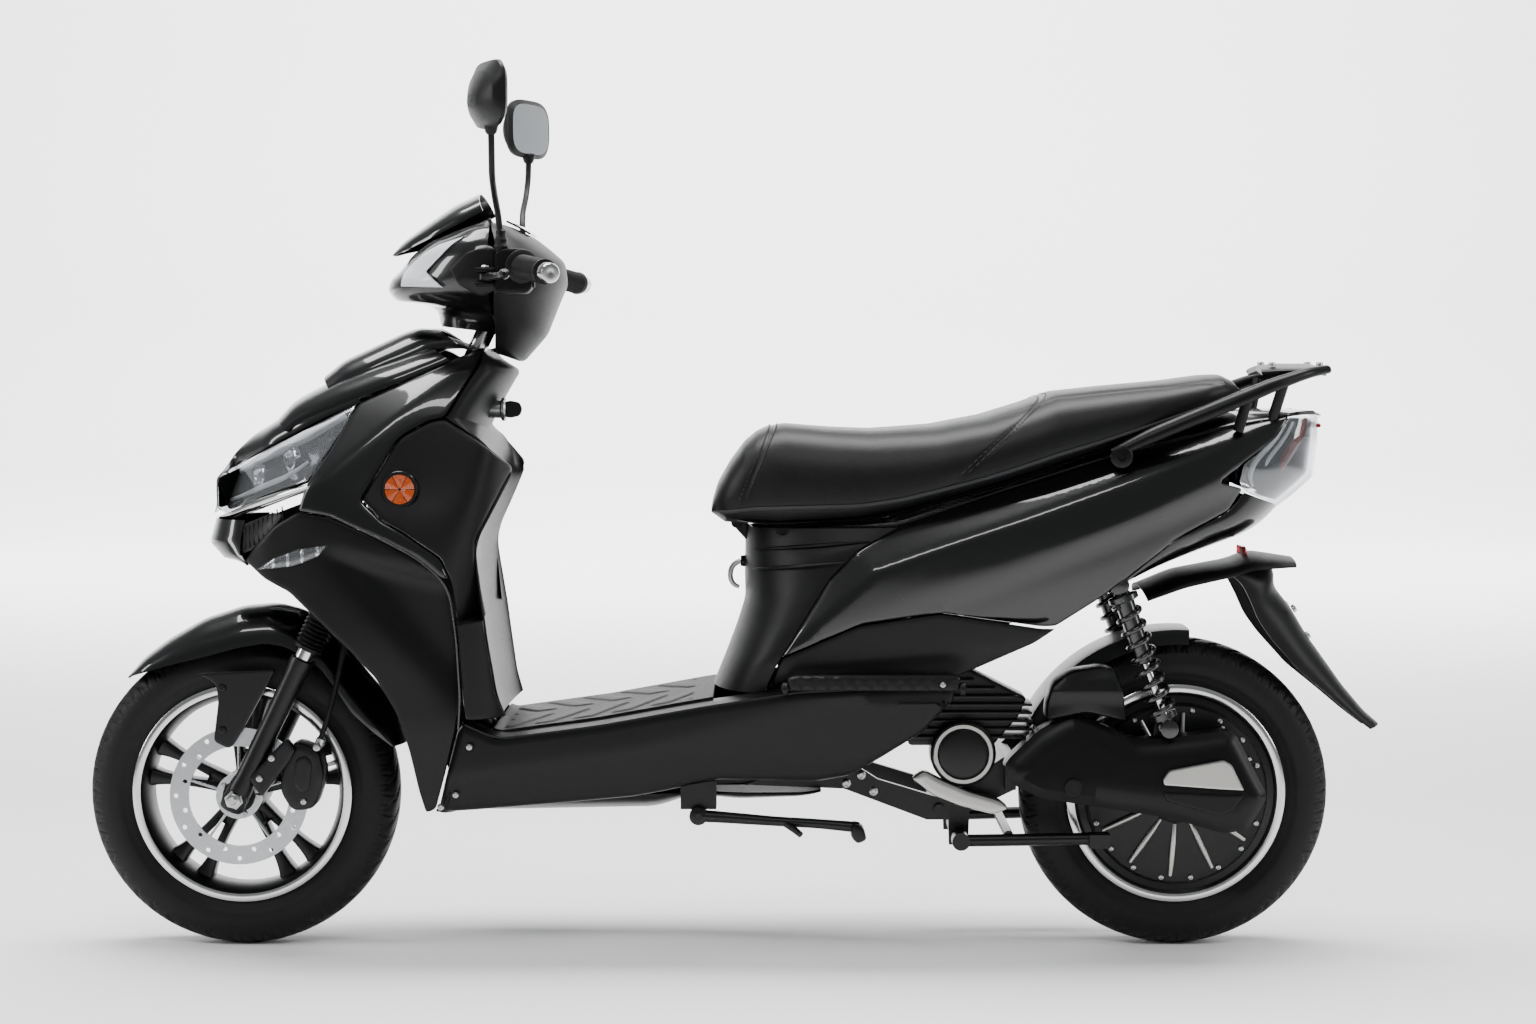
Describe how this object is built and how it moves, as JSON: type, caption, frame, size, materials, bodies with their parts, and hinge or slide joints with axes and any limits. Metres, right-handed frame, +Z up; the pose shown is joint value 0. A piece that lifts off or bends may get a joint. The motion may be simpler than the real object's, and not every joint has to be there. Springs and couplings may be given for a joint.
{
  "type": "moped scooter",
  "caption": "Step-through electric moped scooter with sprung fork, rear hub motor in a swingarm, twin shocks, opening dual seat, fold-out footrests, stands and mirrors.",
  "frame": {"origin": "below the middle of the overall length, on the ground plane that the tyres stand on", "axes": "-X is the way the scooter faces, +Z up, the rider's left side is at -Y"},
  "size_m": [1.924, 0.7086, 1.282],
  "materials": {
    "black_frame_paint": "satin",
    "bearing_steel": "polished",
    "battery_case": "matte",
    "controller_case": "cast",
    "satin_plastic": "fine grain",
    "gloss_black": "high gloss",
    "lamp_reflector": "bright",
    "clear_lens": "clear",
    "amber_reflector": "moulded prisms",
    "red_lens": "clear red",
    "rail_paint": "satin",
    "grip_rubber": "matte",
    "bright_steel": "brushed",
    "lever_alloy": "black anodised",
    "seat_vinyl": "grained vinyl",
    "tyre_rubber": "matte",
    "rim_alloy": "black with polished lips",
    "fork_paint": "satin",
    "shock_black": "gloss",
    "spring_steel": "gloss"
  },
  "bodies": {
    "chassis": {"main_frame": "black_frame_paint", "head_bearings": "bearing_steel", "battery_pack": "battery_case", "motor_controller": "controller_case", "floorboard": "satin_plastic", "floor_skirts": "satin_plastic", "nose_cover": "gloss_black", "front_fairings": "gloss_black", "headlight_housing": "lamp_reflector", "headlight_lens": "clear_lens", "front_cowls": "satin_plastic", "leg_shield": "satin_plastic", "reflectors": "amber_reflector", "front_indicators": "clear_lens", "seat_body_trims": "satin_plastic", "tail_panels": "gloss_black", "tail_cover": "gloss_black", "tail_light": "red_lens", "plate_holder": "satin_plastic", "grab_rail": "rail_paint", "ignition_lock": "bearing_steel"},
    "steering": {"steering_stem": "black_frame_paint", "handlebar": "bright_steel", "handlebar_front_cover": "gloss_black", "handlebar_rear_cover": "satin_plastic", "fly_screen": "gloss_black", "position_lamps": "clear_lens", "grip_left": "grip_rubber", "switch_housings": "satin_plastic"},
    "throttle": {"throttle_grip": "grip_rubber"},
    "brake_lever_left": {"brake_lever_left": "lever_alloy"},
    "brake_lever_right": {"brake_lever_right": "lever_alloy"},
    "turn_switch": {"turn_switch": "satin_plastic"},
    "horn_button": {"horn_button": "satin_plastic"},
    "mirror_left": {"mirror_left": "satin_plastic"},
    "mirror_right": {"mirror_right": "satin_plastic"},
    "fork_lower": {"fork_lowers": "fork_paint", "fork_gaiters": "grip_rubber", "front_fender": "gloss_black", "brake_caliper": "fork_paint", "brake_hose": "grip_rubber"},
    "front_wheel": {"front_tyre": "tyre_rubber", "front_wheel_rim": "rim_alloy", "brake_disc": "bright_steel"},
    "seat": {"seat_cushion": "seat_vinyl", "seat_base": "satin_plastic"},
    "swingarm": {"swingarm": "fork_paint", "motor_cover": "satin_plastic", "engine_trim": "satin_plastic"},
    "rear_wheel": {"rear_tyre": "tyre_rubber", "rear_hub_motor": "rim_alloy"},
    "shock_upper": {"shock_uppers": "shock_black", "shock_springs": "spring_steel"},
    "shock_lower": {"shock_lowers": "black_frame_paint"},
    "side_stand": {"side_stand": "black_frame_paint"},
    "centre_stand": {"centre_stand": "black_frame_paint"},
    "key": {"ignition_key": "bearing_steel"},
    "bag_hook": {"bag_hook": "satin_plastic"},
    "footrest_left": {"footrest_left": "satin_plastic"},
    "footrest_right": {"footrest_right": "satin_plastic"}
  },
  "joints": [
    {"name": "steering_turn", "type": "hinge", "parent": "chassis", "child": "steering", "pos_m": [-0.44651, 0, 0.75832], "axis": [0.4384, 0, 0.8988], "range_deg": [-40, 40]},
    {"name": "fork_slide", "type": "slide", "parent": "steering", "child": "fork_lower", "axis": [0.4384, 0, 0.8988], "range_m": [0, 0.05], "stiffness_N_per_m": 9000, "springref_m": -0.09, "deforming": ["brake_hose"]},
    {"name": "front_wheel_spin", "type": "hinge", "parent": "fork_lower", "child": "front_wheel", "pos_m": [-0.732, 0, 0.23], "axis": [0, 1, 0], "continuous": true},
    {"name": "throttle_twist", "type": "hinge", "parent": "steering", "child": "throttle", "pos_m": [-0.2785, 0.25574, 0.99943], "axis": [0.3583, 0.929, -0.0929], "range_deg": [0, 75], "stiffness_Nm_per_rad": 0.3},
    {"name": "brake_lever_left_pull", "type": "hinge", "parent": "steering", "child": "brake_lever_left", "pos_m": [-0.352, -0.182, 0.99], "axis": [0, 0, 1], "range_deg": [0, 9], "stiffness_Nm_per_rad": 2},
    {"name": "brake_lever_right_pull", "type": "hinge", "parent": "steering", "child": "brake_lever_right", "pos_m": [-0.352, 0.182, 0.99], "axis": [0, 0, -1], "range_deg": [0, 9], "stiffness_Nm_per_rad": 2},
    {"name": "mirror_left_turn", "type": "hinge", "parent": "steering", "child": "mirror_left", "pos_m": [-0.329, -0.181, 1.0305], "axis": [0, 0, 1], "range_deg": [-20, 20]},
    {"name": "mirror_right_turn", "type": "hinge", "parent": "steering", "child": "mirror_right", "pos_m": [-0.329, 0.181, 1.0305], "axis": [0, 0, 1], "range_deg": [-20, 20]},
    {"name": "turn_switch_slide", "type": "slide", "parent": "steering", "child": "turn_switch", "axis": [0, 1, 0], "range_m": [-0.004, 0.004]},
    {"name": "horn_button_press", "type": "slide", "parent": "steering", "child": "horn_button", "axis": [-1, 0, 0], "range_m": [0, 0.0025], "stiffness_N_per_m": 400},
    {"name": "seat_open", "type": "hinge", "parent": "chassis", "child": "seat", "pos_m": [0.002, 0, 0.632], "axis": [0, -1, 0], "range_deg": [0, 70]},
    {"name": "swingarm_travel", "type": "hinge", "parent": "chassis", "child": "swingarm", "pos_m": [0.3, 0, 0.214], "axis": [0, -1, 0], "range_deg": [0, 5], "stiffness_Nm_per_rad": 2600, "springref_deg": -6.3},
    {"name": "rear_wheel_spin", "type": "hinge", "parent": "swingarm", "child": "rear_wheel", "pos_m": [0.654, 0, 0.23], "axis": [0, 1, 0], "continuous": true},
    {"name": "shock_swing", "type": "hinge", "parent": "chassis", "child": "shock_upper", "pos_m": [0.556, 0, 0.548], "axis": [0, -1, 0], "range_deg": [-1, 1]},
    {"name": "shock_slide", "type": "slide", "parent": "shock_upper", "child": "shock_lower", "axis": [-0.3338, 0, 0.9427], "range_m": [0, 0.032], "deforming": ["shock_springs"]},
    {"name": "side_stand_fold", "type": "hinge", "parent": "chassis", "child": "side_stand", "pos_m": [-0.052, 0, 0.214], "axis": [0, 1, 0], "range_deg": [0, 75]},
    {"name": "centre_stand_fold", "type": "hinge", "parent": "swingarm", "child": "centre_stand", "pos_m": [0.33, 0, 0.172], "axis": [0, 1, 0], "range_deg": [0, 70]},
    {"name": "key_turn", "type": "hinge", "parent": "chassis", "child": "key", "pos_m": [-0.35, -0.048, 0.8], "axis": [1, 0, 0], "range_deg": [0, 90]},
    {"name": "bag_hook_fold", "type": "hinge", "parent": "chassis", "child": "bag_hook", "pos_m": [0.006, 0, 0.572], "axis": [0, 1, 0], "range_deg": [0, 60]},
    {"name": "footrest_left_fold", "type": "hinge", "parent": "chassis", "child": "footrest_left", "pos_m": [0.162, -0.184, 0.404], "axis": [1, 0, 0], "range_deg": [0, 85]},
    {"name": "footrest_right_fold", "type": "hinge", "parent": "chassis", "child": "footrest_right", "pos_m": [0.162, 0.184, 0.404], "axis": [-1, 0, 0], "range_deg": [0, 85]}
  ],
  "couplings": [
    {"joint": "shock_swing", "follows": "swingarm_travel", "ratio": -0.034685},
    {"joint": "shock_slide", "follows": "swingarm_travel", "m_per_rad": 0.3528}
  ]
}
